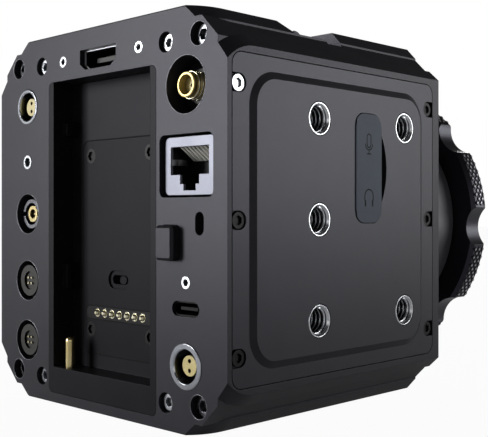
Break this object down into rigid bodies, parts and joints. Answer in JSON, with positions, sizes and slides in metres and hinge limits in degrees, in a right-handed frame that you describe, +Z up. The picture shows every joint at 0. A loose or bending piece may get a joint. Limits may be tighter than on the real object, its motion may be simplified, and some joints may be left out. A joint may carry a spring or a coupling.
{
  "type": "digital cinema camera",
  "caption": "Box-style digital cinema camera body with a rear battery bay and port columns, raised threaded side panels and a lobed, knurled lens-lock ring.",
  "frame": {"origin": "mouth of the small tripod thread in the bottom face, at half the width and half the depth of the body without its mount", "axes": "-Y the way the lens looks, +Y out of the battery bay, +Z up, -X the side with the audio flap"},
  "size_m": [0.0932, 0.1176, 0.0968],
  "materials": {
    "body": "satin anodised",
    "side_panel": "satin anodised",
    "ring": "satin anodised, knurled",
    "steel": "machined",
    "black_steel": "black oxide",
    "gold_contact": "gold plated",
    "black_plastic": "moulded",
    "rubber": "moulded",
    "cream_plastic": "moulded",
    "circuit_board": "solder mask",
    "sensor": "ceramic package",
    "sensor_glass": "clear filter glass",
    "display": "gloss window",
    "record_red": "satin"
  },
  "bodies": {
    "camera_body": {"main_body": "body", "rear_cover": "body", "left_panel": "side_panel", "right_panel": "side_panel", "panel_screws": "black_steel", "bright_panel_screw": "steel", "quarter_inserts": "steel", "large_insert": "steel", "audio_jacks": "black_plastic", "card_slot": "black_plastic", "bay_frame": "body", "battery_plate": "side_panel", "battery_plate_screws": "black_steel", "contact_strip": "black_plastic", "contact_sleeves": "gold_contact", "hdmi_socket": "black_plastic", "two_pin_shells": "steel", "two_pin_inserts": "cream_plastic", "remote_jack": "steel", "video_socket_shell": "steel", "video_socket_core": "gold_contact", "four_pin_sockets": "black_plastic", "four_pin_contacts": "gold_contact", "antenna_socket": "gold_contact", "antenna_insulator": "cream_plastic", "network_socket": "steel", "network_contacts": "gold_contact", "usb_socket": "black_plastic", "corner_screws": "black_steel", "rear_inner_screws": "steel", "port_screws": "steel", "port_board": "circuit_board", "mount_neck": "body", "lens_seat": "steel", "seat_screws": "steel", "locating_pin": "steel", "sensor_chamber": "black_plastic", "sensor_package": "sensor", "sensor_glass": "sensor_glass", "sensor_board": "circuit_board", "board_standoffs": "steel", "main_board": "circuit_board", "heat_sink": "steel", "fan_housing": "black_plastic", "display_window": "display"},
    "lock_ring": {"lock_ring": "ring"},
    "audio_flap": {"audio_flap": "rubber"},
    "card_door": {"card_door": "side_panel"},
    "release_button": {"release_button": "body"},
    "battery_latch": {"battery_latch": "steel"},
    "ejector_pin": {"ejector_pin": "gold_contact"},
    "contact_pins": {"contact_pins": "gold_contact"},
    "slide_switch": {"slide_switch": "side_panel"},
    "record_button": {"record_button": "record_red"},
    "power_button": {"power_button": "body"},
    "menu_key_rear": {"menu_key_rear": "body"},
    "menu_key_middle": {"menu_key_middle": "body"},
    "menu_key_front": {"menu_key_front": "body"},
    "fan_rotor": {"fan_rotor": "black_plastic"}
  },
  "joints": [
    {"name": "ring_turn", "type": "hinge", "parent": "camera_body", "child": "lock_ring", "pos_m": [0, -0.07, 0.0479], "axis": [0, -1, 0], "range_deg": [0, 45]},
    {"name": "audio_flap_open", "type": "hinge", "parent": "camera_body", "child": "audio_flap", "pos_m": [-0.04635, -0.00263, 0.06125], "axis": [0, 0, -1], "range_deg": [0, 95]},
    {"name": "card_door_open", "type": "hinge", "parent": "camera_body", "child": "card_door", "pos_m": [0.04635, -0.01773, 0.0484], "axis": [0, 0, -1], "range_deg": [0, 95]},
    {"name": "release_press", "type": "slide", "parent": "camera_body", "child": "release_button", "axis": [0, -1, 0], "range_m": [0, 0.0016], "stiffness_N_per_m": 300, "springref_m": -0.002},
    {"name": "latch_slide", "type": "slide", "parent": "camera_body", "child": "battery_latch", "axis": [-1, 0, 0], "range_m": [0, 0.0016]},
    {"name": "ejector_press", "type": "slide", "parent": "camera_body", "child": "ejector_pin", "axis": [0, 0, -1], "range_m": [0, 0.0056], "stiffness_N_per_m": 200, "springref_m": -0.003},
    {"name": "contacts_press", "type": "slide", "parent": "camera_body", "child": "contact_pins", "axis": [0, -1, 0], "range_m": [0, 0.0005], "stiffness_N_per_m": 800, "springref_m": -0.0005},
    {"name": "switch_slide", "type": "slide", "parent": "camera_body", "child": "slide_switch", "axis": [1, 0, 0], "range_m": [0, 0.0032]},
    {"name": "record_press", "type": "slide", "parent": "camera_body", "child": "record_button", "axis": [0, 0, -1], "range_m": [0, 0.0008], "stiffness_N_per_m": 400, "springref_m": -0.0006},
    {"name": "power_press", "type": "slide", "parent": "camera_body", "child": "power_button", "axis": [0, 0, -1], "range_m": [0, 0.0008], "stiffness_N_per_m": 400, "springref_m": -0.0006},
    {"name": "menu_rear_press", "type": "slide", "parent": "camera_body", "child": "menu_key_rear", "axis": [0, 0, -1], "range_m": [0, 0.0008], "stiffness_N_per_m": 400, "springref_m": -0.0006},
    {"name": "menu_middle_press", "type": "slide", "parent": "camera_body", "child": "menu_key_middle", "axis": [0, 0, -1], "range_m": [0, 0.0008], "stiffness_N_per_m": 400, "springref_m": -0.0006},
    {"name": "menu_front_press", "type": "slide", "parent": "camera_body", "child": "menu_key_front", "axis": [0, 0, -1], "range_m": [0, 0.0008], "stiffness_N_per_m": 400, "springref_m": -0.0006},
    {"name": "fan_spin", "type": "hinge", "parent": "camera_body", "child": "fan_rotor", "pos_m": [0, 0.01323, 0.0484], "axis": [0, 1, 0], "continuous": true}
  ],
  "couplings": [
    {"joint": "latch_slide", "follows": "release_press", "ratio": 1}
  ]
}
